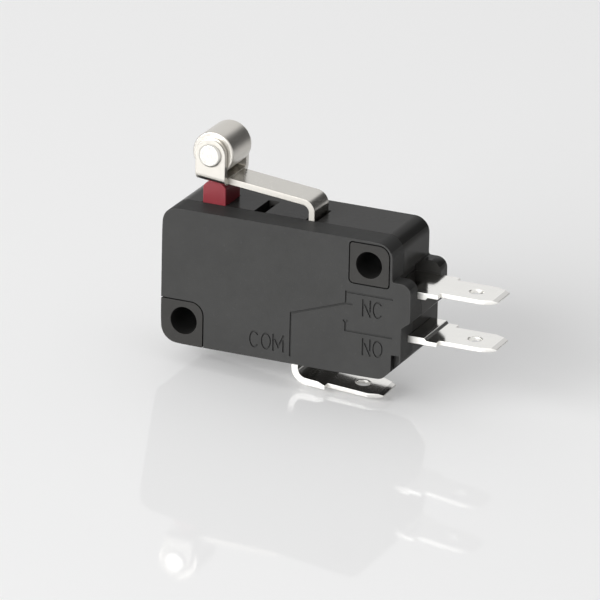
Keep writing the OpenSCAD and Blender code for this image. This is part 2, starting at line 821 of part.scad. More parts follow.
module contact_arm() {
    half = blade_t / 2;
    edge = run_gap + knife_len;
    end = arm_len + contact_d / 2 + contact_rim;
    color("#c58a4a")
        on_arm()
            difference() {
                union() {
                    plate([
                        [run_gap, 0], [edge, -half], [end, -half], [end, half], [edge, half]
                    ], -blade_y, blade_y);
                    box([eye_x - eye_t / 2, -eye_w / 2, 0],
                        [eye_x + eye_t / 2, eye_w / 2, eye_z + eye_rim]);
                }
                box([-over, -window_y, -over], [eye_x - eye_t / 2, window_y, over]);
                translate([eye_x - over, 0, eye_z])
                    rotate([0, 90, 0])
                        cylinder(d = hook_hole_d, h = 2 * over, $fn = round_fn);
                translate([arm_len, 0, -over])
                    cylinder(d = contact_shank_d, h = 2 * over, $fn = round_fn);
            }
}

module moving_contact() {
    half = blade_t / 2;
    color("#c9c3b4")
        on_arm()
            translate([arm_len, 0, 0]) {
                cylinder(d = contact_shank_d, h = blade_t + contact_h, center = true, $fn = round_fn);
                for (side = [0, 1])
                    mirror([0, 0, side])
                        translate([0, 0, half])
                            crowned_head(contact_h);
            }
}

// Drive lever: a fork on the trunnions, with a nose under the plunger and a tongue for the spring
fork_outline =
    let (d = [trunnion_x, trunnion_z], n = [nose_x, nose_z], u = unit(n - d), v = [-u.y, u.x])
    let (wide = trunnion_rim, slim = fork_end_w / 2)
    let (a = d - u * wide)
    rounded([
        concat(a + v * wide, round_r), concat(n + v * slim, 0),
        concat(n - v * slim, 0), concat(a - v * wide, round_r)
    ]);

module drive_lever() {
    color("#b9b4a6")
        in_frame()
            difference() {
                union() {
                    for (side = [-1, 1])
                        plate(fork_outline,
                            low_y(side, fork_in_y, fork_out_y), high_y(side, fork_in_y, fork_out_y));
                    bar([nose_x, nose_z], nose_d, -fork_out_y, fork_out_y);
                    box([nose_x, -hook_w / 2, hook_z - hook_t / 2],
                        [hook_x + hook_rim, hook_w / 2, hook_z + hook_t / 2]);
                }
                bar([trunnion_x, trunnion_z], trunnion_d + 2 * run_gap,
                    -fork_out_y - over, fork_out_y + over);
                translate([hook_x, 0, hook_z - over])
                    cylinder(d = hook_hole_d, h = 2 * over, $fn = round_fn);
            }
}

// Snap spring: a hook in the tongue, the coil and a hook in the arm's eye

spring_from = [hook_x, 0, hook_z];
spring_to = [
    pivot_x + eye_x * cos(free_tilt) - eye_z * sin(free_tilt), 0,
    pivot_z + eye_x * sin(free_tilt) + eye_z * cos(free_tilt)
];
spring_dir = unit(spring_to - spring_from);
spring_up = [-spring_dir.z, 0, spring_dir.x];
rings_per_turn = 12;

// Point on the spring's own axes: s along it, w to the side and h up
function spring_point(s, w, h) = spring_from + spring_dir * s + [0, w, 0] + spring_up * h;

spring_path =
    let (span = norm(spring_to - spring_from), r = coil_d / 2, n = coil_turns * rings_per_turn)
    let (drop = hook_t / 2 + wire_d)
    concat(
        [[hook_x, 0, hook_z + drop + wire_d], [hook_x, 0, hook_z], [hook_x, 0, hook_z - drop],
         [hook_x + wire_d, 0, hook_z - drop - wire_d]],
        [for (i = [0:n])
            let (a = 360 * i / rings_per_turn)
            spring_point(spring_end + (span - 2 * spring_end) * i / n, r * sin(a), -r * cos(a))],
        [spring_point(span - spring_tail, 0, -wire_d / 2), spring_point(span, 0, 0),
         spring_point(span + spring_tail, 0, 0), spring_point(span + spring_tail + wire_d / 2, 0, wire_d)]
    );

// Direction of a path at each of its points
function path_directions(p) =
    [for (i = [0:len(p) - 1]) unit(p[min(i + 1, len(p) - 1)] - p[max(i - 1, 0)])];

// Sideways vectors carried along the path without twist
function carried(t, n, i = 0) =
    i == len(t) ? [] :
    let (m = unit(n - t[i] * (n * t[i])))
    concat([m], carried(t, m, i + 1));

// Round wire along a path
module wire(path, d) {
    sides = 8;
    last = len(path) - 1;
    t = path_directions(path);
    m = carried(t, [0, 1, 0]);
    points = [for (i = [0:last], k = [0:sides - 1])
        path[i] + d / 2 * (cos(360 * k / sides) * m[i] + sin(360 * k / sides) * cross(t[i], m[i]))];
    walls = [for (i = [0:last - 1], k = [0:sides - 1])
        [i * sides + k, (i + 1) * sides + k,
         (i + 1) * sides + (k + 1) % sides, i * sides + (k + 1) % sides]];
    ends = [[for (k = [0:sides - 1]) k], [for (k = [sides - 1:-1:0]) last * sides + k]];
    polyhedron(points = points, faces = concat(walls, ends), convexity = 10);
}

module snap_spring() {
    color("#bfc3c6")
        in_frame()
            wire(spring_path, wire_d);
}

case();
cover();
plunger();
lever();
roller();
roller_pin();
com_terminal();
nc_terminal();
no_terminal();
nc_contact();
no_contact();
contact_arm();
moving_contact();
drive_lever();
snap_spring();
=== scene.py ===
"""Finish of a snap-action micro switch with a hinged roller lever, laid out as an add-on."""

import math

import bmesh
import bpy
from bpy.props import FloatProperty, FloatVectorProperty, IntProperty, PointerProperty
from mathutils import Matrix, Vector
from mathutils.bvhtree import BVHTree


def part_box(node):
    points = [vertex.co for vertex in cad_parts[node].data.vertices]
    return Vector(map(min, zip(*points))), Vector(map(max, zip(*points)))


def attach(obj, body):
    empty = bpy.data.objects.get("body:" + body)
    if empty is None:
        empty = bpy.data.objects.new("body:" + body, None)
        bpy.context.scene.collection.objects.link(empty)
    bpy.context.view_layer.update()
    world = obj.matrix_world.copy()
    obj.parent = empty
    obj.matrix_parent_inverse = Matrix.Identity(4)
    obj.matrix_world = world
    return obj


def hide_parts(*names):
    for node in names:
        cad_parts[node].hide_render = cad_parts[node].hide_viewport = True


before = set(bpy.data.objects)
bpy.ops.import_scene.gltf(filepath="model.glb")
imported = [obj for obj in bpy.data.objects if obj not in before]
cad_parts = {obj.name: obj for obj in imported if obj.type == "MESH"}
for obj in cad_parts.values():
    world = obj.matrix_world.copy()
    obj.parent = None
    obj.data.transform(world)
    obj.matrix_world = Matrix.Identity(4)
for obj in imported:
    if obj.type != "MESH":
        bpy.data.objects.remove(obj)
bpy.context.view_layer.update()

bl_info = {
    "name": "Roller lever switch",
    "version": (1, 0, 0),
    "blender": (4, 5, 0),
    "location": "View3D > Sidebar > Switch",
    "description": "Shells, marks, metals and studio for a snap-action switch with a roller lever",
    "category": "Object",
}

MM = 0.001

# Vertices of a CAD mesh closer than this are one
MERGE_GAP = 1e-7
# Faces that meet flatter than this are one flat face
FLAT_ANGLE = math.radians(0.5)
# Edges sharper than this get a rounded edge
EDGE_ANGLE = math.radians(30)
# Folds of sheet metal sharper than this show as a line
FOLD_ANGLE = math.radians(12)
# Edges still sharper than this after rounding keep a crease
CREASE_ANGLE = math.radians(40)
# Width that a face needs beside a rounded edge, in radii, and how far a flat face may be out of flat
EDGE_ROOM = 2
FACE_SLACK = 0.001 * MM
# Weight of large faces over small ones in the shading
FACE_WEIGHT = 100

# Start of a ray in front of the face that it leaves
RAY_STEP = 0.01 * MM
# Walls closer than this to each other are a bore or a slot
NARROW = 4 * MM
# Cosine above which a face looks along an axis
LOOKS_ALONG = 0.5
# Wear and painted highlight on the edges of holes and joints, and on the edges between two open faces
INNER_WEAR_AND_HIGHLIGHT = 0.5
OUTER_WEAR_AND_HIGHLIGHT = 1.0
# How far a seal is sunk into its boss, and how far it stays clear of the cover
SEAL_SINK = 0.2 * MM
SEAL_GAP = 0.01 * MM

# Sheared faces of the lever and of the terminals look more to the front or back than this
LEVER_SHEAR = 0.93
TERMINAL_SHEAR = 0.3
# A tab's broad sides look more up or down than this
BROAD_LEAN = 0.9
# The coined bevels at a tab's tip look up or down by a share between these
BEVEL_LEAN = (0.5, 0.98)

# Side from which the room is brightest
BRIGHT_SIDE = (-0.62, 0.10, 0.78)
# Middle of the room's dark corner, and the cosines at which it begins and is full
DARK_CORNER = (0.571, 0.762, 0.305)
DARK_FROM = 0.85
DARK_FULL = 0.94
# Side from which the key lamp shines
KEY_SIDE = (-0.377, -0.858, 0.36)
# Width of the camera's sensor in millimetres, and the nearest and farthest that it sees in metres
SENSOR = 36
SEES_FROM = 0.01
SEES_TO = 100


# Settings


def length(name, description, millimetres):
    """A length that a user may change, given in millimetres and kept in metres."""
    return FloatProperty(
        name=name, description=description, default=millimetres * MM,
        min=0, precision=5, subtype="DISTANCE", unit="LENGTH",
    )


def angle(name, description, degrees):
    """An angle that a user may change, given in degrees."""
    return FloatProperty(
        name=name, description=description, default=math.radians(degrees),
        subtype="ANGLE", unit="ROTATION",
    )


def colour(name, description, value):
    """A linear colour that a user may change."""
    return FloatVectorProperty(
        name=name, description=description, default=value, size=3, min=0, max=1, subtype="COLOR",
    )


def factor(name, description, value):
    """A share between 0 and 1 that a user may change."""
    return FloatProperty(
        name=name, description=description, default=value, min=0, max=1, subtype="FACTOR",
    )


def level(name, description, value):
    """A light level that a user may change."""
    return FloatProperty(name=name, description=description, default=value, min=0)


def corner(name, description, millimetres):
    """A place on the front face that a user may change, given in millimetres across and up."""
    return FloatVectorProperty(
        name=name, description=description, default=[part * MM for part in millimetres], size=2,
        precision=5, unit="LENGTH",
    )


def steps(description):
    """The number of steps across a rounded edge, which a user may change."""
    return IntProperty(name="Segments", description=description, default=3, min=1)


class HousingSettings(bpy.types.PropertyGroup):
    """Edges, grain and colours of the moulded pieces."""

    outer_edge: length("Outer edge", "Radius of the edges between two open faces", 0.12)
    inner_edge: length("Inner edge", "Radius of the edges of holes, slots and joints", 0.04)
    plunger_edge: length("Plunger edge", "Radius of the plunger's edges", 0.16)
    segments: steps("Steps across a rounded edge of plastic")
    case_colour: colour("Case", "Colour of the case's plastic", (0.050, 0.049, 0.047))
    cover_colour: colour("Cover", "Colour of the cover's plastic", (0.056, 0.056, 0.055))
    plunger_colour: colour("Plunger", "Colour of the plunger's plastic", (0.235, 0.022, 0.032))
    case_polish: factor("Case polish", "How much smoother the case's sides are than its front", 0.36)
    cover_polish: factor("Cover polish", "How much smoother the cover's sides are than its front", 0.06)
    # The tops of case and cover are painted darker, as shade that stands for the light they miss.
    case_top_shade: factor("Case top", "Tone of the case's top, as a share of its colour", 0.5)
    cover_top_shade: factor("Cover top", "Tone of the cover's top, as a share of its colour", 0.65)
    grain: length("Grain", "Size of the grain on the mould", 0.14)
    boss_edge: length("Boss edge", "Distance from the lower hole's axis to the sides of its boss", 2.3)
    boss_round: length("Boss corner", "Radius of the boss's inner corner", 1.45)
    joint: length("Joint", "Width of the joint between the boss and the cover", 0.12)
    seal_depth: length("Seal depth", "Depth of the joint in front of its seal", 0.3)


class MarkSettings(bpy.types.PropertyGroup):
    """Circuit sign and terminal names cut into the cover, measured from the cover's lower left corner."""

    stroke: length("Stroke", "Width of the cut lines", 0.22)
    depth: length("Depth", "Depth of the cut lines", 0.16)
    common_x: length("Common line", "Distance of the common line from the left end", 15.78)
    common_low: length("Common line foot", "Height of the common line's lower end", 0.95)
    common_high: length("Common line head", "Height of the common line's upper end", 5.98)
    branch_x: length("Branches", "Distance of the two branches from the left end", 22.36)
    branch_end: length("Branch ends", "Distance of the branches' right ends from the left end", 27.85)
    upper_z: length("Upper branch", "Height of the upper branch", 9.6)
    blade_z: length("Blade tip", "Height of the drawn blade's tip, where the upper tick ends", 8.24)
    blade_x: length("Blade end", "Distance of the drawn blade's end from the left end", 23.06)
    lower_z: length("Lower branch", "Height of the lower branch", 5.08)
    tick_z: length("Lower tick", "Height of the lower tick's upper end", 6.0)
    barb: length("Barb", "Size of the two barbs on the lower tick", 0.2)
    letter_h: length("Letters", "Height of the letters", 1.78)
    common_word: corner("Common name", "Lower left corner of the common terminal's name", (10.9, 1.25))
    upper_word: corner("Upper name", "Lower left corner of the upper terminal's name", (24.42, 7.15))
    lower_word: corner("Lower name", "Lower left corner of the lower terminal's name", (24.5, 2.62))


class MetalSettings(bpy.types.PropertyGroup):
    """Edges, colours and finishes of the metal pieces."""

    lever_edge: length("Lever edge", "Radius of the lever's edges", 0.07)
    terminal_edge: length("Terminal edge", "Radius of the terminals' edges", 0.05)
    turned_edge: length("Turned edge", "Radius of the roller's and the pin's edges", 0.06)
    inner_edge: length("Inner edge", "Radius of the mechanism's edges", 0.03)
    common_roll: angle("Common tab roll", "Turn of the common tab about its front edge", 2.8)
    tip_bevel: length("Tip bevel", "Length of the coined bevels at the terminals' tips", 0.6)
    spring_cut: length("Spring cut", "Place where the spring's hook is parted from its coil", 4.25)
    spring_gap: length("Spring gap", "Width of that parting", 0.02)
    hook_top: length("Hook top", "Height of the hook's end, which stays clear of the plunger", 6.5)
    segments: steps("Steps across a rounded edge of metal")
    lever_colour: colour("Lever", "Colour of the lever's plating", (0.63, 0.61, 0.57))
    roller_colour: colour("Roller", "Colour of the roller's steel", (0.64, 0.615, 0.57))
    pin_colour: colour("Pin", "Colour of the pin's plating", (0.72, 0.705, 0.665))
    terminal_colour: colour("Terminals", "Colour of the terminals' plating", (0.87, 0.86, 0.83))
    contact_colour: colour("Contacts", "Colour of the contacts' silver", (0.84, 0.82, 0.78))
    blade_colour: colour("Blade", "Colour of the contact arm's copper alloy", (0.72, 0.42, 0.25))
    steel_colour: colour("Steel", "Colour of the inner steel", (0.55, 0.54, 0.52))
    lever_rough: factor("Lever roughness", "Least roughness of the lever", 0.16)
    roller_rough: factor("Roller roughness", "Least roughness of the roller", 0.24)
    pin_rough: factor("Pin roughness", "Least roughness of the pin", 0.20)
    terminal_rough: factor("Terminal roughness", "Least roughness of the terminals", 0.04)
    contact_rough: factor("Contact roughness", "Least roughness of the contacts", 0.30)
    blade_rough: factor("Blade roughness", "Least roughness of the contact arm", 0.25)
    steel_rough: factor("Steel roughness", "Least roughness of the inner steel", 0.32)


class StageSettings(bpy.types.PropertyGroup):
    """Camera, floor and light."""

    azimuth: angle("Azimuth", "Turn of the view to the right of the front", 23.721)
    elevation: angle("Elevation", "Height of the view above the horizon", 20.46)
    roll: angle("Roll", "Turn of the camera about its own axis", 1.304)
    distance: length("Distance", "Distance from the camera to its target", 800)
    field: length("Field", "Width of the view at the target", 66.48)
    target: FloatVectorProperty(
        name="Target", description="Point in the middle of the view", size=3,
        default=(12.007 * MM, -0.49 * MM, 2.971 * MM), precision=5, subtype="XYZ", unit="LENGTH",
    )
    floor_gap: length("Floor gap", "Distance from the floor to the common tab", 0.55)
    floor_tilt: angle("Floor tilt", "Slope of the floor, along the common tab", 4.0)
    floor_size: length("Floor", "Width of the floor", 6000)
    floor_colour: colour("Floor colour", "Colour of the floor", (0.97, 0.97, 0.97))
    floor_glow: factor("Floor glow", "Share of the floor's brightness that no shadow reaches", 0.13)
    backdrop_level: level("Backdrop", "Level of the pale room that the metal mirrors", 0.92)
    corner_level: level("Dark corner", "Level of the room's dark corner that the metal mirrors", 0.08)
    world_level: level("World", "Level of the light from all around", 0.367)
    world_slant: factor("World slant", "Share by which that light is stronger from the bright side", 0.9)
    key_level: level("Key", "Power of the soft lamp at the front left, in watts", 15.0)
    key_distance: length("Key distance", "Distance from that lamp to the target", 1200)
    key_width: length("Key width", "Width of that lamp", 950)
    key_height: length("Key height", "Height of that lamp", 720)


class SwitchSettings(bpy.types.PropertyGroup):
    """All settings of the switch."""

    housing: PointerProperty(type=HousingSettings)
    marks: PointerProperty(type=MarkSettings)
    metal: PointerProperty(type=MetalSettings)
    stage: PointerProperty(type=StageSettings)


# Shader maths


class Wire:
    """One socket of a material's nodes. Arithmetic on wires adds Math nodes."""

    def __init__(self, tree, socket=None):
        self.tree = tree
        self.socket = socket

    def add(self, kind, settings=None, sockets=None, out=0):
        """A new node with its settings, then its sockets' values or links, as the wire of its output."""
        node = self.tree.nodes.new(kind)
        for name, value in (settings or {}).items():
            if name == "stops":
                set_stops(node.color_ramp, value)
            else:
                setattr(node, name, value)
        for key, value in (sockets or {}).items():
            if isinstance(value, Wire):
                self.tree.links.new(value.socket, node.inputs[key])
            else:
                node.inputs[key].default_value = value
        return None if out is None else Wire(self.tree, node.outputs[out])

    def math(self, operation, a, b):
        """A Math node on two values."""
        return self.add("ShaderNodeMath", {"operation": operation}, {0: a, 1: b})

    def vector(self, operation, other, out=0):
        """A Vector Math node on this vector and another one."""
        return self.add("ShaderNodeVectorMath", {"operation": operation}, {0: self, 1: other}, out)

    def __add__(self, other):
        return self.math("ADD", self, other)

    def __radd__(self, other):
        return self.math("ADD", other, self)

    def __sub__(self, other):
        return self.math("SUBTRACT", self, other)

    def __rsub__(self, other):
        return self.math("SUBTRACT", other, self)

    def __mul__(self, other):
        return self.math("MULTIPLY", self, other)

    def __rmul__(self, other):
        return self.math("MULTIPLY", other, self)


def set_stops(colour_ramp, stops):
    """Gives a colour ramp its two stops, as pairs of place and grey level."""
    for element, (place, value) in zip(colour_ramp.elements, stops):
        element.position = place
        element.color = grey(value)


def opaque(rgb):
    """A colour with full cover."""
    return (*rgb, 1)


def grey(value):
    """A grey with full cover."""
    return opaque((value, value, value))


def scaled(rgb, share):
    """A colour made lighter or darker, as a colour with full cover."""
    return opaque([min(1, part * share) for part in rgb])


def new_finish(name):
    """A material with no nodes, and the wire of its object coordinates."""
    material = bpy.data.materials.new(name)
    material.use_nodes = True
    material.node_tree.nodes.clear()
    return material, Wire(material.node_tree).add("ShaderNodeTexCoord", out="Object")


def close_finish(wire, sockets):
    """Ends a material with a Principled shader that has these sockets."""
    shader = wire.add("ShaderNodeBsdfPrincipled", sockets=sockets, out="BSDF")
    wire.add("ShaderNodeOutputMaterial", sockets={"Surface": shader}, out=None)


def noise(place, size, detail=2.0, roughness=0.5):
    """Cloudy noise from 0 to 1, with patches about this many metres across."""
    return place.add(
        "ShaderNodeTexNoise",
        sockets={"Vector": place, "Scale": 1 / size, "Detail": detail, "Roughness": roughness},
    )


def ramp(value, *stops):
    """A value through a grey ramp with these stops."""
    return value.add("ShaderNodeValToRGB", {"stops": stops}, {"Fac": value})


def mixed(share, low, high):
    """A colour between two colours."""
    return share.add("ShaderNodeMix", {"data_type": "RGBA"}, {0: share, 6: low, 7: high}, 2)


def relief(height, depth):
    """The normal of a surface with this height, where a height of 1 is depth metres."""
    return height.add("ShaderNodeBump", sockets={"Height": height, "Distance": depth, "Strength": 1.0})


def zone(wire, name):
    """1 in a zone of a piece and 0 elsewhere, from the piece's own attribute."""
    return wire.add("ShaderNodeAttribute", {"attribute_name": name}, out="Fac")


# Finishes

# Patterns on the black plastic: clouds, patches, pale flecks and the depth of the grain
PLASTIC_CLOUD = 5 * MM
PLASTIC_PATCH = 1.1 * MM
PLASTIC_FLECK = 0.35 * MM
PLASTIC_DEPTH = 0.012 * MM
# Patterns on the red plastic: clouds, draw marks drawn out along z, pits and their depth
RED_CLOUD = 1.6 * MM
RED_DRAW = 0.12 * MM
RED_DRAWN_OUT = (1, 1, 0.06)
RED_PIT = 0.10 * MM
RED_DEPTH = 0.008 * MM
# Patterns on sheet metal: rolling lines and scratches drawn out along x, stains, haze and their depth
SHEET_LINE = 0.10 * MM
SHEET_SCRATCH = 0.045 * MM
SHEET_DRAWN_OUT = (0.05, 1, 1)
SHEET_STAIN = 2.6 * MM
SHEET_HAZE = 0.5 * MM
SHEET_DEPTH = 0.0016 * MM
# Patterns on turned metal: rings, stains and the rings' depth
TURNED_RING = 0.07 * MM
TURNED_STAIN = 1.5 * MM
TURNED_DEPTH = 0.0012 * MM
# Patterns on the inner metal: stains, pits and their depth
INNER_STAIN = 0.8 * MM
INNER_PIT = 0.08 * MM
INNER_DEPTH = 0.002 * MM
# Clouds on the floor
FLOOR_CLOUD = 90 * MM


def moulded_plastic(name, rgb, grain, polish, top_shade):
    """Black plastic: matt on the front, polished on the sides, with painted shade on top and in bores, and
    edges lighter and burnished, partly from wear and partly as a painted highlight.
    """
    material, place = new_finish(name)
    cloud = noise(place, PLASTIC_CLOUD, 3)
    patch = noise(place, PLASTIC_PATCH, 4, 0.6)
    fleck = ramp(noise(place, PLASTIC_FLECK, 1), (0.70, 0), (0.78, 1))
    pit = noise(place, grain, 2, 0.6)
    side = zone(place, "side")
    # Rounded edges are lighter and smoother: partly wear, partly a painted highlight.
    wear_and_highlight = zone(place, "edge") * (0.5 + 0.5 * patch)
    tone = mixed(0.55 * cloud + 0.45 * patch, scaled(rgb, 0.82), scaled(rgb, 1.18))
    tone = mixed(0.10 * fleck, tone, scaled(rgb, 2.2))
    tone = mixed(0.45 * wear_and_highlight, tone, scaled(rgb, 1.9))
    # Painted shade: faces that look up get a darker colour.
    tone = mixed(zone(place, "top"), tone, scaled(rgb, top_shade))
    # Painted shade: faces in bores and slots get a much darker colour.
    tone = mixed(zone(place, "bore"), tone, scaled(rgb, 0.4))
    close_finish(place, {
        "Base Color": tone,
        "Roughness": 0.52 + 0.14 * patch - 0.10 * wear_and_highlight - polish * side,
        "Specular IOR Level": 0.06,
        "Normal": relief(pit * (1 - 0.75 * side), PLASTIC_DEPTH),
    })
    return material


def red_plastic(name, rgb):
    """Glossier red plastic with faint draw marks along the stem."""
    material, place = new_finish(name)
    cloud = noise(place, RED_CLOUD, 3)
    draw = noise(place.vector("MULTIPLY", RED_DRAWN_OUT), RED_DRAW, 2)
    pit = noise(place, RED_PIT, 2)
    close_finish(place, {
        "Base Color": mixed(0.6 * cloud + 0.4 * draw, scaled(rgb, 0.84), scaled(rgb, 1.16)),
        "Roughness": 0.30 + 0.16 * cloud,
        "Specular IOR Level": 0.5,
        "Normal": relief(0.7 * pit + 0.3 * draw, RED_DEPTH),
    })
    return material


def rolled_plating(name, rgb, rough):
    """Plated sheet metal: fine rolling lines along x, stains, pale sheared edges, and coined bevels painted
    darker as shade.
    """
    material, place = new_finish(name)
    rolled = place.vector("MULTIPLY", SHEET_DRAWN_OUT)
    lines = noise(rolled, SHEET_LINE, 3, 0.6)
    scratch = ramp(noise(rolled, SHEET_SCRATCH, 1), (0.66, 0), (0.72, 1))
    stain = noise(place, SHEET_STAIN, 4, 0.6)
    haze = noise(place, SHEET_HAZE, 3)
    sheared = zone(place, "cut")
    tone = mixed(0.5 * lines + 0.5 * stain, scaled(rgb, 0.90), scaled(rgb, 1.07))
    tone = mixed(0.12 * haze, tone, scaled(rgb, 0.7))
    tone = mixed(sheared, tone, scaled(rgb, 1.05))
    # Painted shade: the coined bevels at the tips are darkened, standing for the darker reflection that
    # they catch.
    tone = mixed(zone(place, "coined"), tone, scaled(rgb, 0.74))
    close_finish(place, {
        "Base Color": tone,
        "Metallic": 1.0,
        "Roughness": rough + 0.08 * stain + 0.06 * lines + 0.06 * scratch + 0.38 * sheared,
        "Normal": relief(0.6 * lines + 0.4 * haze, SHEET_DEPTH),
    })
    return material


def turned_metal(name, rgb, rough, axis):
    """Turned metal with fine rings round an axis along y through this point."""
    material, place = new_finish(name)
    from_axis = place.vector("SUBTRACT", (axis.x, 0, axis.z))
    across = from_axis.vector("MULTIPLY", (1, 0, 1))
    radius = across.add("ShaderNodeVectorMath", {"operation": "LENGTH"}, {0: across}, "Value")
    along = from_axis.add("ShaderNodeSeparateXYZ", sockets={0: from_axis}, out="Y")
    rings = noise(radius.add("ShaderNodeCombineXYZ", sockets={0: radius, 1: along}), TURNED_RING, 3, 0.6)
    stain = noise(place, TURNED_STAIN, 4, 0.6)
    close_finish(place, {
        "Base Color": mixed(0.6 * rings + 0.4 * stain, scaled(rgb, 0.90), scaled(rgb, 1.06)),
        "Metallic": 1.0,
        "Roughness": rough + 0.10 * stain + 0.06 * rings,
        "Normal": relief(rings, TURNED_DEPTH),
    })
    return material


def inner_metal(name, rgb, rough):
    """Plain metal with a soft tarnish, for the pieces inside."""
    material, place = new_finish(name)
    stain = noise(place, INNER_STAIN, 4, 0.6)
    pit = noise(place, INNER_PIT, 2)
    close_finish(place, {
        "Base Color": mixed(stain, scaled(rgb, 0.82), scaled(rgb, 1.08)),
        "Metallic": 1.0,
        "Roughness": rough + 0.14 * stain,
        "Normal": relief(pit, INNER_DEPTH),
    })
    return material


def seen_ray(wire):
    """1 where a surface is seen, mirrored or looked through to, and 0 where it only lights others."""
    share = wire.add("ShaderNodeLightPath", out="Is Camera Ray")
    for kind in ("Is Glossy Ray", "Is Transmission Ray"):
        share = share + wire.add("ShaderNodeLightPath", out=kind)
    return share


def polished_floor(name, rgb, glow):
    """Pale floor with a faint mirror, as of acrylic over a light box, with a share of its own glow."""
    material, place = new_finish(name)
    ray = seen_ray(place)
    tone = mixed(noise(place, FLOOR_CLOUD, 2), scaled(rgb, 0.995), scaled(rgb, 1.005))
    close_finish(place, {
        "Base Color": mixed(ray, tone, scaled(rgb, 1 - glow)),
        "Emission Color": mixed(ray, grey(0), scaled(rgb, glow)),
        "Emission Strength": 1.0,
        "Roughness": 0.04,
        "IOR": 1.2,
    })
    return material


def pale_room(name, stage):
    """A world that lights softly, more from its bright side, and is mirrored as pale with a dark corner."""
    world = bpy.data.worlds.new(name)
    world.use_nodes = True
    world.node_tree.nodes.clear()
    start = Wire(world.node_tree)
    place = start.add("ShaderNodeTexCoord", out="Generated")
    bright = place.vector("DOT_PRODUCT", BRIGHT_SIDE, "Value")
    light = mixed(0.5 + 0.5 * stage.world_slant * bright, grey(0), grey(2 * stage.world_level))
    cosine = place.vector("DOT_PRODUCT", DARK_CORNER, "Value")
    dark = ramp(cosine, (DARK_FROM, 0), (DARK_FULL, 1))
    mirrored = start.add("ShaderNodeLightPath", out="Is Glossy Ray")
    tone = mixed(seen_ray(start), light, grey(stage.backdrop_level))
    tone = mixed(dark * mirrored, tone, grey(stage.corner_level))
    shader = start.add("ShaderNodeBackground", sockets={"Color": tone})
    start.add("ShaderNodeOutputWorld", sockets={"Surface": shader}, out=None)
    return world


# Shapes


def merged_copy(node):
    """A closed copy of a CAD node's mesh, with its flat faces whole."""
    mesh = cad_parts[node].data.copy()
    mesh.attributes.remove(mesh.attributes["custom_normal"])
    bm = bmesh.new()
    bm.from_mesh(mesh)
    bpy.data.meshes.remove(mesh)
    bmesh.ops.remove_doubles(bm, verts=bm.verts, dist=MERGE_GAP)
    bmesh.ops.dissolve_limit(bm, angle_limit=FLAT_ANGLE, verts=bm.verts, edges=bm.edges)
    for edge in bm.edges:
        edge.smooth = True
    bm.normal_update()
    return bm


def new_piece(name, bm):
    """A mesh object at the origin from a bmesh, which is freed."""
    mesh = bpy.data.meshes.new(name)
    bm.to_mesh(mesh)
    bm.free()
    piece = bpy.data.objects.new(name, mesh)
    bpy.context.scene.collection.objects.link(piece)
    return piece


def put_on(piece, material):
    """Gives a piece one material."""
    piece.data.materials.clear()
    piece.data.materials.append(material)


def sharp_edges(bm, least):
    """The edges that stand out sharper than this angle."""
    return [edge for edge in bm.edges
            if edge.is_manifold and edge.is_convex and edge.calc_face_angle() > least]


def round_edges(bm, edges, radius, segments):
    """Rounds edges, and returns the new faces."""
    made = bmesh.ops.bevel(
        bm, geom=edges, offset=radius, offset_type="OFFSET", affect="EDGES",
        segments=segments, profile=0.5, material=-1, clamp_overlap=False, loop_slide=False,
    )
    return made["faces"]


def crease_by_angle(mesh):
    """Smooth faces, with a crease on every edge that is still sharp."""
    bm = bmesh.new()
    bm.from_mesh(mesh)
    for face in bm.faces:
        face.smooth = True
    for edge in bm.edges:
        edge.smooth = edge.smooth and edge.is_manifold and edge.calc_face_angle() < CREASE_ANGLE
    bm.to_mesh(mesh)
    bm.free()


def flatten_shading(piece, keep_sharp):
    """Shading normals that follow the large faces, so that only rounded edges bend them."""
    modifier = piece.modifiers.new("Shading", "WEIGHTED_NORMAL")
    modifier.weight = FACE_WEIGHT
    modifier.keep_sharp = keep_sharp


def combine(piece, other, operation, crossed=False):
    """Adds another piece's shape to a piece or takes it out, and removes the other piece.

    Solids that cross themselves, such as the strokes of letters, are crossed and become one.
    """
    step = piece.modifiers.new("Combine", "BOOLEAN")
    step.operation = operation
    step.solver = "EXACT"
    step.use_self = crossed
    step.object = other
    graph = bpy.context.evaluated_depsgraph_get()
    plain = piece.data
    piece.data = bpy.data.meshes.new_from_object(piece.evaluated_get(graph))
    piece.modifiers.remove(step)
    bpy.data.objects.remove(other)
    bpy.data.meshes.remove(plain)


def finish_node(node, material, radius, segments):
    """Rounds the edges of a CAD node by modifiers and gives it a material."""
    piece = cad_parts[node]
    weld = piece.modifiers.new("Merge", "WELD")
    weld.merge_threshold = MERGE_GAP
    flat = piece.modifiers.new("Flat faces", "DECIMATE")
    flat.decimate_type = "DISSOLVE"
    flat.angle_limit = FLAT_ANGLE
    bevel = piece.modifiers.new("Edges", "BEVEL")
    bevel.width = radius
    bevel.segments = segments
    bevel.limit_method = "ANGLE"
    bevel.angle_limit = EDGE_ANGLE
    flatten_shading(piece, False)
    put_on(piece, material)


# Housing


def shell_tree(node):
    """Search tree of a shell."""
    bm = merged_copy(node)
    tree = BVHTree.FromBMesh(bm)
    bm.free()
    return tree


def room_before(face, trees):
    """Distance from a face to the next wall that it looks at, in either shell."""
    start = face.calc_center_median() + face.normal * RAY_STEP
    gaps = [tree.ray_cast(start, face.normal)[3] for tree in trees]
    return min((gap for gap in gaps if gap is not None), default=math.inf)


def has_room(edge, radius, tree):
    """Whether the faces on both sides of an edge are wide enough for its rounding."""
    middle = (edge.verts[0].co + edge.verts[1].co) / 2
    reach = EDGE_ROOM * radius
    for loop in edge.link_loops:
        along = loop.link_loop_next.vert.co - loop.vert.co
        inward = loop.face.normal.cross(along).normalized()
        if tree.find_nearest(middle + inward * reach)[3] > FACE_SLACK:
            return False
    return True


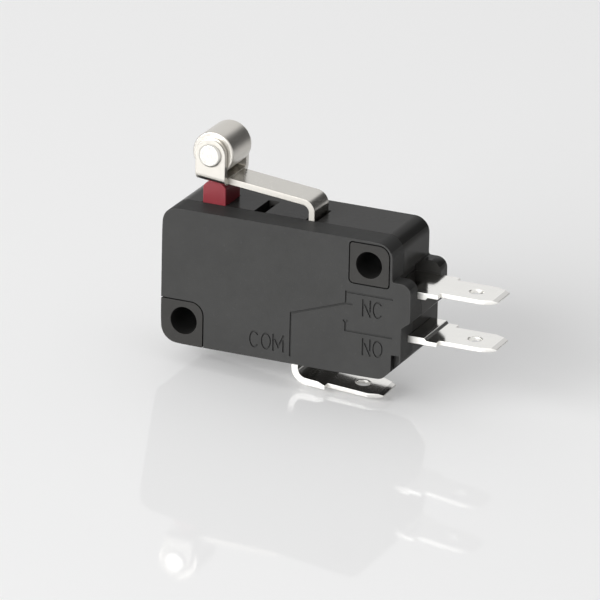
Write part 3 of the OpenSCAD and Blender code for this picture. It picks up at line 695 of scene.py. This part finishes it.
def rounded_shell(node, name, housing):
    """A shell of the housing with rounded edges, which stands for its CAD node."""
    trees = {shell: shell_tree(shell) for shell in ("case", "cover")}
    bm = merged_copy(node)
    edge_layer = bm.faces.layers.float.new("edge")
    side_layer = bm.faces.layers.float.new("side")
    top_shade_layer = bm.faces.layers.float.new("top")
    bore_shade_layer = bm.faces.layers.float.new("bore")
    room = {face: room_before(face, trees.values()) for face in bm.faces}
    free = {face for face in bm.faces if room[face] == math.inf}
    for face in bm.faces:
        face[side_layer] = float(face.normal.y > -LOOKS_ALONG and room[face] >= NARROW)
        # Faces that look up get painted shade.
        face[top_shade_layer] = float(face.normal.z > LOOKS_ALONG)
        # Faces in bores and slots get painted shade.
        face[bore_shade_layer] = float(room[face] < NARROW)
    outer, inner = [], []
    for edge in sharp_edges(bm, EDGE_ANGLE):
        count = sum(face in free for face in edge.link_faces)
        if count == 2 and has_room(edge, housing.outer_edge, trees[node]):
            outer.append(edge)
        elif count == 1 and has_room(edge, housing.inner_edge, trees[node]):
            inner.append(edge)
    for face in round_edges(bm, inner, housing.inner_edge, housing.segments):
        face[edge_layer] = INNER_WEAR_AND_HIGHLIGHT
    outer = [edge for edge in outer if edge.is_valid]
    for face in round_edges(bm, outer, housing.outer_edge, housing.segments):
        face[edge_layer] = OUTER_WEAR_AND_HIGHLIGHT
    piece = new_piece(name, bm)
    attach(piece, "housing")
    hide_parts(node)
    return piece


def dress_shell(piece, material):
    """Gives a finished shell its plastic and its shading."""
    put_on(piece, material)
    crease_by_angle(piece.data)
    flatten_shading(piece, True)


def add_box(bm, low, high):
    """A closed box between two corners."""
    low, high = Vector(low), Vector(high)
    place = Matrix.Translation((low + high) / 2) @ Matrix.Diagonal((*(high - low), 1))
    bmesh.ops.create_cube(bm, size=1, matrix=place)


def joint_seal(housing):
    """Tongues on the lower boss, behind the ends of its joint, so that no light shows through."""
    low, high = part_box("cover")
    inside = housing.boss_edge - SEAL_SINK
    outside = housing.boss_edge + housing.joint - SEAL_GAP
    bend = housing.boss_edge - housing.boss_round
    front = low.y + housing.seal_depth
    inset = housing.outer_edge
    bm = bmesh.new()
    add_box(bm, (low.x + inset, front, inside), (bend, high.y, outside))
    add_box(bm, (inside, front, low.z + inset), (outside, high.y, bend))
    return new_piece("joint_seal", bm)


# Strokes of a letter in a cell of height 1: width, path of straight lines, and an oval's start and turn
FULL_TURN = 360
LETTERS = {
    "C": (0.60, (), (40, 280)),
    "M": (0.68, ((0, 0), (0, 1), (0.34, 0.25), (0.68, 1), (0.68, 0)), ()),
    "N": (0.50, ((0, 0), (0, 1), (0.50, 0), (0.50, 1)), ()),
    "O": (0.60, (), (0, FULL_TURN)),
}
LETTER_GAP = 0.2
OVAL_STEPS = 28


def line_cut(bm, start, end, marks):
    """A bar along a straight line on the plane y = 0."""
    a, b = Vector((start[0], 0, start[1])), Vector((end[0], 0, end[1]))
    along = b - a
    turn = Matrix.Rotation(-math.atan2(along.z, along.x), 4, "Y")
    size = Matrix.Diagonal((along.length + marks.stroke, 2 * marks.depth, marks.stroke, 1))
    bmesh.ops.create_cube(bm, size=1, matrix=Matrix.Translation((a + b) / 2) @ turn @ size)


def oval_cut(bm, low, high, start, sweep, marks):
    """A bar along part of the oval between two corners on the plane y = 0, or along all of it."""
    middle = Vector(((low[0] + high[0]) / 2, 0, (low[1] + high[1]) / 2))
    half_w, half_h = (high[0] - low[0]) / 2, (high[1] - low[1]) / 2
    before = set(bm.verts)
    place = Matrix.Translation(middle) @ Matrix.Rotation(-math.radians(start), 4, "Y")
    size = Matrix.Diagonal((marks.stroke, 2 * marks.depth, 1, 1))
    section = place @ Matrix.Translation((half_h, 0, 0)) @ size
    ring = bmesh.ops.create_grid(bm, x_segments=1, y_segments=1, size=0.5, matrix=section)["verts"]
    edges = list({edge for vert in ring for edge in vert.link_edges})
    bmesh.ops.delete(bm, geom=list(ring[0].link_faces), context="FACES_ONLY")
    bmesh.ops.spin(
        bm, geom=ring + edges, cent=middle, axis=(0, -1, 0), angle=math.radians(sweep),
        steps=OVAL_STEPS, use_merge=sweep == FULL_TURN, use_duplicate=False,
    )
    made = [vert for vert in bm.verts if vert not in before]
    bmesh.ops.holes_fill(bm, edges=[edge for edge in bm.edges if edge.is_boundary])
    bmesh.ops.scale(bm, vec=(half_w / half_h, 1, 1), space=Matrix.Translation(-middle), verts=made)


def word_cut(bm, word, low, marks):
    """The letters of a word, from its lower left corner."""
    x, z = low
    height = marks.letter_h
    for letter in word:
        width, path, turn = LETTERS[letter]
        points = [(x + across * height, z + up * height) for across, up in path]
        for start, end in zip(points, points[1:]):
            line_cut(bm, start, end, marks)
        if turn:
            oval_cut(bm, (x, z), (x + width * height, z + height), *turn, marks)
        x += (width + LETTER_GAP) * height


def circuit_lines(marks):
    """The straight lines of the circuit sign, as pairs of points across and up."""
    head = (marks.common_x, marks.common_high)
    tip = (marks.branch_x, marks.blade_z)
    tick = (marks.branch_x, marks.tick_z)
    return (
        ((marks.common_x, marks.common_low), head),
        (head, tip),
        (tip, (marks.blade_x, marks.blade_z)),
        (tip, (marks.branch_x, marks.upper_z)),
        ((marks.branch_x, marks.upper_z), (marks.branch_end, marks.upper_z)),
        ((marks.branch_x, marks.lower_z), (marks.branch_end, marks.lower_z)),
        ((marks.branch_x, marks.lower_z), tick),
        (tick, (marks.branch_x - marks.barb, marks.tick_z + marks.barb)),
        (tick, (marks.branch_x + marks.barb, marks.tick_z + marks.barb)),
    )


def placed_cutter(name, bm):
    """A cutter in place across the cover's front face."""
    bmesh.ops.recalc_face_normals(bm, faces=bm.faces)
    bmesh.ops.translate(bm, vec=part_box("cover")[0], verts=bm.verts)
    return new_piece(name, bm)


def mark_cutter(marks):
    """One solid of all the marks, whose strokes cross each other."""
    sign = bmesh.new()
    for start, end in circuit_lines(marks):
        line_cut(sign, start, end, marks)
    names = bmesh.new()
    words = (("COM", marks.common_word), ("NC", marks.upper_word), ("NO", marks.lower_word))
    for word, low in words:
        word_cut(names, word, low, marks)
    cutter = placed_cutter("sign_cutter", sign)
    combine(cutter, placed_cutter("name_cutter", names), "UNION", crossed=True)
    return cutter


class SWITCH_OT_case(bpy.types.Operator):
    """Make the moulded case with its two bosses"""

    bl_idname = "switch.case"
    bl_label = "Case"

    def execute(self, context):
        housing = context.scene.roller_switch.housing
        piece = rounded_shell("case", "housing_case", housing)
        combine(piece, joint_seal(housing), "UNION")
        black = moulded_plastic(
            "case_plastic", housing.case_colour, housing.grain, housing.case_polish, housing.case_top_shade)
        dress_shell(piece, black)
        return {"FINISHED"}


class SWITCH_OT_cover(bpy.types.Operator):
    """Make the moulded cover with its circuit sign and terminal names"""

    bl_idname = "switch.cover"
    bl_label = "Cover"

    def execute(self, context):
        housing = context.scene.roller_switch.housing
        piece = rounded_shell("cover", "housing_cover", housing)
        combine(piece, mark_cutter(context.scene.roller_switch.marks), "DIFFERENCE")
        black = moulded_plastic(
            "cover_plastic", housing.cover_colour, housing.grain, housing.cover_polish, housing.cover_top_shade)
        dress_shell(piece, black)
        return {"FINISHED"}


class SWITCH_OT_plunger(bpy.types.Operator):
    """Finish the red plunger"""

    bl_idname = "switch.plunger"
    bl_label = "Plunger"

    def execute(self, context):
        housing = context.scene.roller_switch.housing
        red = red_plastic("plunger_plastic", housing.plunger_colour)
        finish_node("plunger", red, housing.plunger_edge, housing.segments)
        return {"FINISHED"}


# Metal


def cut_sheet(bm, node, name, body, material, radius, segments, shear):
    """A piece of sheet metal with rounded and marked cut edges, which stands for its CAD node."""
    cut_layer = bm.faces.layers.float.new("cut")
    for face in bm.faces:
        face[cut_layer] = float(abs(face.normal.y) > shear)
    for edge in bm.edges:
        edge.smooth = not FOLD_ANGLE < edge.calc_face_angle(0) < EDGE_ANGLE
    for face in round_edges(bm, sharp_edges(bm, EDGE_ANGLE), radius, segments):
        face[cut_layer] = 1.0
    piece = new_piece(name, bm)
    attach(piece, body)
    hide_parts(node)
    put_on(piece, material)
    crease_by_angle(piece.data)
    flatten_shading(piece, True)


class SWITCH_OT_lever(bpy.types.Operator):
    """Finish the lever, its roller and its pin"""

    bl_idname = "switch.lever"
    bl_label = "Lever and roller"

    def execute(self, context):
        metal = context.scene.roller_switch.metal
        low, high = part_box("roller")
        axis = (low + high) / 2
        plating = rolled_plating("lever_metal", metal.lever_colour, metal.lever_rough)
        cut_sheet(merged_copy("lever"), "lever", "folded_lever", "lever", plating,
                  metal.lever_edge, metal.segments, LEVER_SHEAR)
        steel = turned_metal("roller_metal", metal.roller_colour, metal.roller_rough, axis)
        finish_node("roller", steel, metal.turned_edge, metal.segments)
        rivet = turned_metal("pin_metal", metal.pin_colour, metal.pin_rough, axis)
        finish_node("roller_pin", rivet, metal.turned_edge, metal.segments)
        return {"FINISHED"}


def roll_tab(bm, roll):
    """Rolls the common terminal's tab about its front edge, as the bending tool left it."""
    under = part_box("case")[0].z
    run = [vert for vert in bm.verts if vert.co.z < under]
    sole = max(
        (face for face in bm.faces if face.normal.z < -BROAD_LEAN and face.calc_center_median().z < under),
        key=lambda face: face.calc_area(),
    )
    along = Vector((-sole.normal.z, 0, sole.normal.x))
    front = min(sole.verts, key=lambda vert: (vert.co.y, vert.co.x)).co.copy()
    start = min(vert.co.x for vert in run)
    for vert in run:
        share = min(1, max(0, (vert.co.x - start) / (front.x - start)))
        turn = Matrix.Rotation(roll * share, 3, along)
        vert.co = front + turn @ (vert.co - front)
    bm.normal_update()


def terminal_sheet(bm, node, metal, plating):
    """A terminal with rounded edges, and bevels at its tip marked for painted shade."""
    coined = bm.faces.layers.float.new("coined")
    tip = max(vert.co.x for vert in bm.verts)
    for face in bm.faces:
        at_tip = face.calc_center_median().x > tip - metal.tip_bevel
        face[coined] = float(at_tip and BEVEL_LEAN[0] < abs(face.normal.z) < BEVEL_LEAN[1])
    cut_sheet(bm, node, node + "_sheet", "housing", plating,
              metal.terminal_edge, metal.segments, TERMINAL_SHEAR)


class SWITCH_OT_terminals(bpy.types.Operator):
    """Finish the three flat terminals"""

    bl_idname = "switch.terminals"
    bl_label = "Terminals"

    def execute(self, context):
        metal = context.scene.roller_switch.metal
        plating = rolled_plating("terminal_metal", metal.terminal_colour, metal.terminal_rough)
        common = merged_copy("com_terminal")
        roll_tab(common, metal.common_roll)
        terminal_sheet(common, "com_terminal", metal, plating)
        for node in ("nc_terminal", "no_terminal"):
            terminal_sheet(merged_copy(node), node, metal, plating)
        return {"FINISHED"}


def trim(bm, point, outward):
    """Cuts off what lies outside a plane, and closes the cut."""
    bmesh.ops.bisect_plane(
        bm, geom=[*bm.verts, *bm.edges, *bm.faces], dist=MERGE_GAP,
        plane_co=point, plane_no=outward, clear_outer=True,
    )
    bmesh.ops.holes_fill(bm, edges=[edge for edge in bm.edges if edge.is_boundary])


def spring_piece(bm, name, body, material):
    """One part of the spring, which rides on this body."""
    bmesh.ops.recalc_face_normals(bm, faces=bm.faces)
    piece = new_piece(name, bm)
    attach(piece, body)
    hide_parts("snap_spring")
    put_on(piece, material)
    crease_by_angle(piece.data)


def split_spring(metal, material):
    """The spring in two pieces, so that its hook follows the inner lever and its coil the contact arm."""
    half = metal.spring_gap / 2
    hook = merged_copy("snap_spring")
    trim(hook, (metal.spring_cut - half, 0, 0), (1, 0, 0))
    trim(hook, (0, 0, metal.hook_top), (0, 0, 1))
    spring_piece(hook, "spring_hook", "drive_lever", material)
    coil = merged_copy("snap_spring")
    trim(coil, (metal.spring_cut + half, 0, 0), (-1, 0, 0))
    spring_piece(coil, "spring_coil", "contact_arm", material)


class SWITCH_OT_mechanism(bpy.types.Operator):
    """Finish the pieces inside the housing"""

    bl_idname = "switch.mechanism"
    bl_label = "Mechanism"

    def execute(self, context):
        metal = context.scene.roller_switch.metal
        silver = inner_metal("contact_metal", metal.contact_colour, metal.contact_rough)
        copper = rolled_plating("blade_metal", metal.blade_colour, metal.blade_rough)
        steel = inner_metal("inner_steel", metal.steel_colour, metal.steel_rough)
        for node in ("nc_contact", "no_contact", "moving_contact"):
            finish_node(node, silver, metal.inner_edge, metal.segments)
        finish_node("contact_arm", copper, metal.inner_edge, metal.segments)
        finish_node("drive_lever", steel, metal.inner_edge, metal.segments)
        split_spring(metal, steel)
        return {"FINISHED"}


# Studio


def view_axes(stage):
    """The camera's right, up and backward directions."""
    ca, sa = math.cos(stage.azimuth), math.sin(stage.azimuth)
    ce, se = math.cos(stage.elevation), math.sin(stage.elevation)
    right = Vector((ca, sa, 0))
    up = Vector((-sa * se, ca * se, ce))
    back = Vector((sa * ce, -ca * ce, se))
    turn = Matrix.Rotation(stage.roll, 3, back)
    return turn @ right, turn @ up, back


def add_camera(stage):
    """The camera at the photograph's angle."""
    right, up, back = view_axes(stage)
    data = bpy.data.cameras.new("camera")
    data.sensor_width = SENSOR
    data.lens = SENSOR * stage.distance / stage.field
    data.clip_start = SEES_FROM
    data.clip_end = SEES_TO
    camera = bpy.data.objects.new("camera", data)
    turn = Matrix((right, up, back)).transposed().to_4x4()
    camera.matrix_world = Matrix.Translation(Vector(stage.target) + back * stage.distance) @ turn
    bpy.context.scene.collection.objects.link(camera)
    bpy.context.scene.camera = camera


def add_floor(stage):
    """The floor, just under the common tab and along it."""
    low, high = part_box("com_terminal")
    under = Vector((high.x, 0, low.z - stage.floor_gap))
    place = Matrix.Translation(under) @ Matrix.Rotation(stage.floor_tilt, 4, "Y")
    bm = bmesh.new()
    bmesh.ops.create_grid(bm, x_segments=1, y_segments=1, size=stage.floor_size / 2, matrix=place)
    floor = new_piece("floor", bm)
    put_on(floor, polished_floor("floor", stage.floor_colour, stage.floor_glow))


def add_key(stage):
    """A soft lamp that lights the target from the front left, unseen by the camera."""
    data = bpy.data.lights.new("key_lamp", "AREA")
    data.shape = "RECTANGLE"
    data.size = stage.key_width
    data.size_y = stage.key_height
    data.energy = stage.key_level
    lamp = bpy.data.objects.new("key_lamp", data)
    outward = Vector(KEY_SIDE).normalized()
    place = Matrix.Translation(Vector(stage.target) + outward * stage.key_distance)
    lamp.matrix_world = place @ (-outward).to_track_quat("-Z", "Y").to_matrix().to_4x4()
    lamp.visible_camera = False
    bpy.context.scene.collection.objects.link(lamp)


class SWITCH_OT_stage(bpy.types.Operator):
    """Make the camera, the floor and the studio light"""

    bl_idname = "switch.stage"
    bl_label = "Stage"

    def execute(self, context):
        stage = context.scene.roller_switch.stage
        add_camera(stage)
        add_floor(stage)
        add_key(stage)
        context.scene.world = pale_room("studio", stage)
        context.scene.view_settings.view_transform = "Standard"
        return {"FINISHED"}


class SWITCH_PT_panel(bpy.types.Panel):
    """Settings and steps of the switch"""

    bl_idname = "SWITCH_PT_panel"
    bl_label = "Roller lever switch"
    bl_space_type = "VIEW_3D"
    bl_region_type = "UI"
    bl_category = "Switch"

    def draw(self, context):
        settings = context.scene.roller_switch
        for operator in OPERATORS:
            self.layout.operator(operator.bl_idname)
        for name in ("housing", "marks", "metal", "stage"):
            group = getattr(settings, name)
            box = self.layout.box()
            box.label(text=name.title())
            for prop in group.__annotations__:
                box.prop(group, prop)


GROUPS = (HousingSettings, MarkSettings, MetalSettings, StageSettings, SwitchSettings)
OPERATORS = (
    SWITCH_OT_case, SWITCH_OT_cover, SWITCH_OT_plunger, SWITCH_OT_lever,
    SWITCH_OT_terminals, SWITCH_OT_mechanism, SWITCH_OT_stage,
)


def register():
    """Makes the settings, steps and panel known to Blender."""
    for cls in (*GROUPS, *OPERATORS, SWITCH_PT_panel):
        bpy.utils.register_class(cls)
    bpy.types.Scene.roller_switch = PointerProperty(type=SwitchSettings)


def unregister():
    """Takes the settings, steps and panel out of Blender."""
    del bpy.types.Scene.roller_switch
    for cls in (SWITCH_PT_panel, *reversed(OPERATORS), *reversed(GROUPS)):
        bpy.utils.unregister_class(cls)


def main():
    """Runs all the steps."""
    register()
    for operator in OPERATORS:
        group, name = operator.bl_idname.split(".")
        getattr(getattr(bpy.ops, group), name)()
    bpy.context.view_layer.update()


if __name__ == "__main__":
    main()
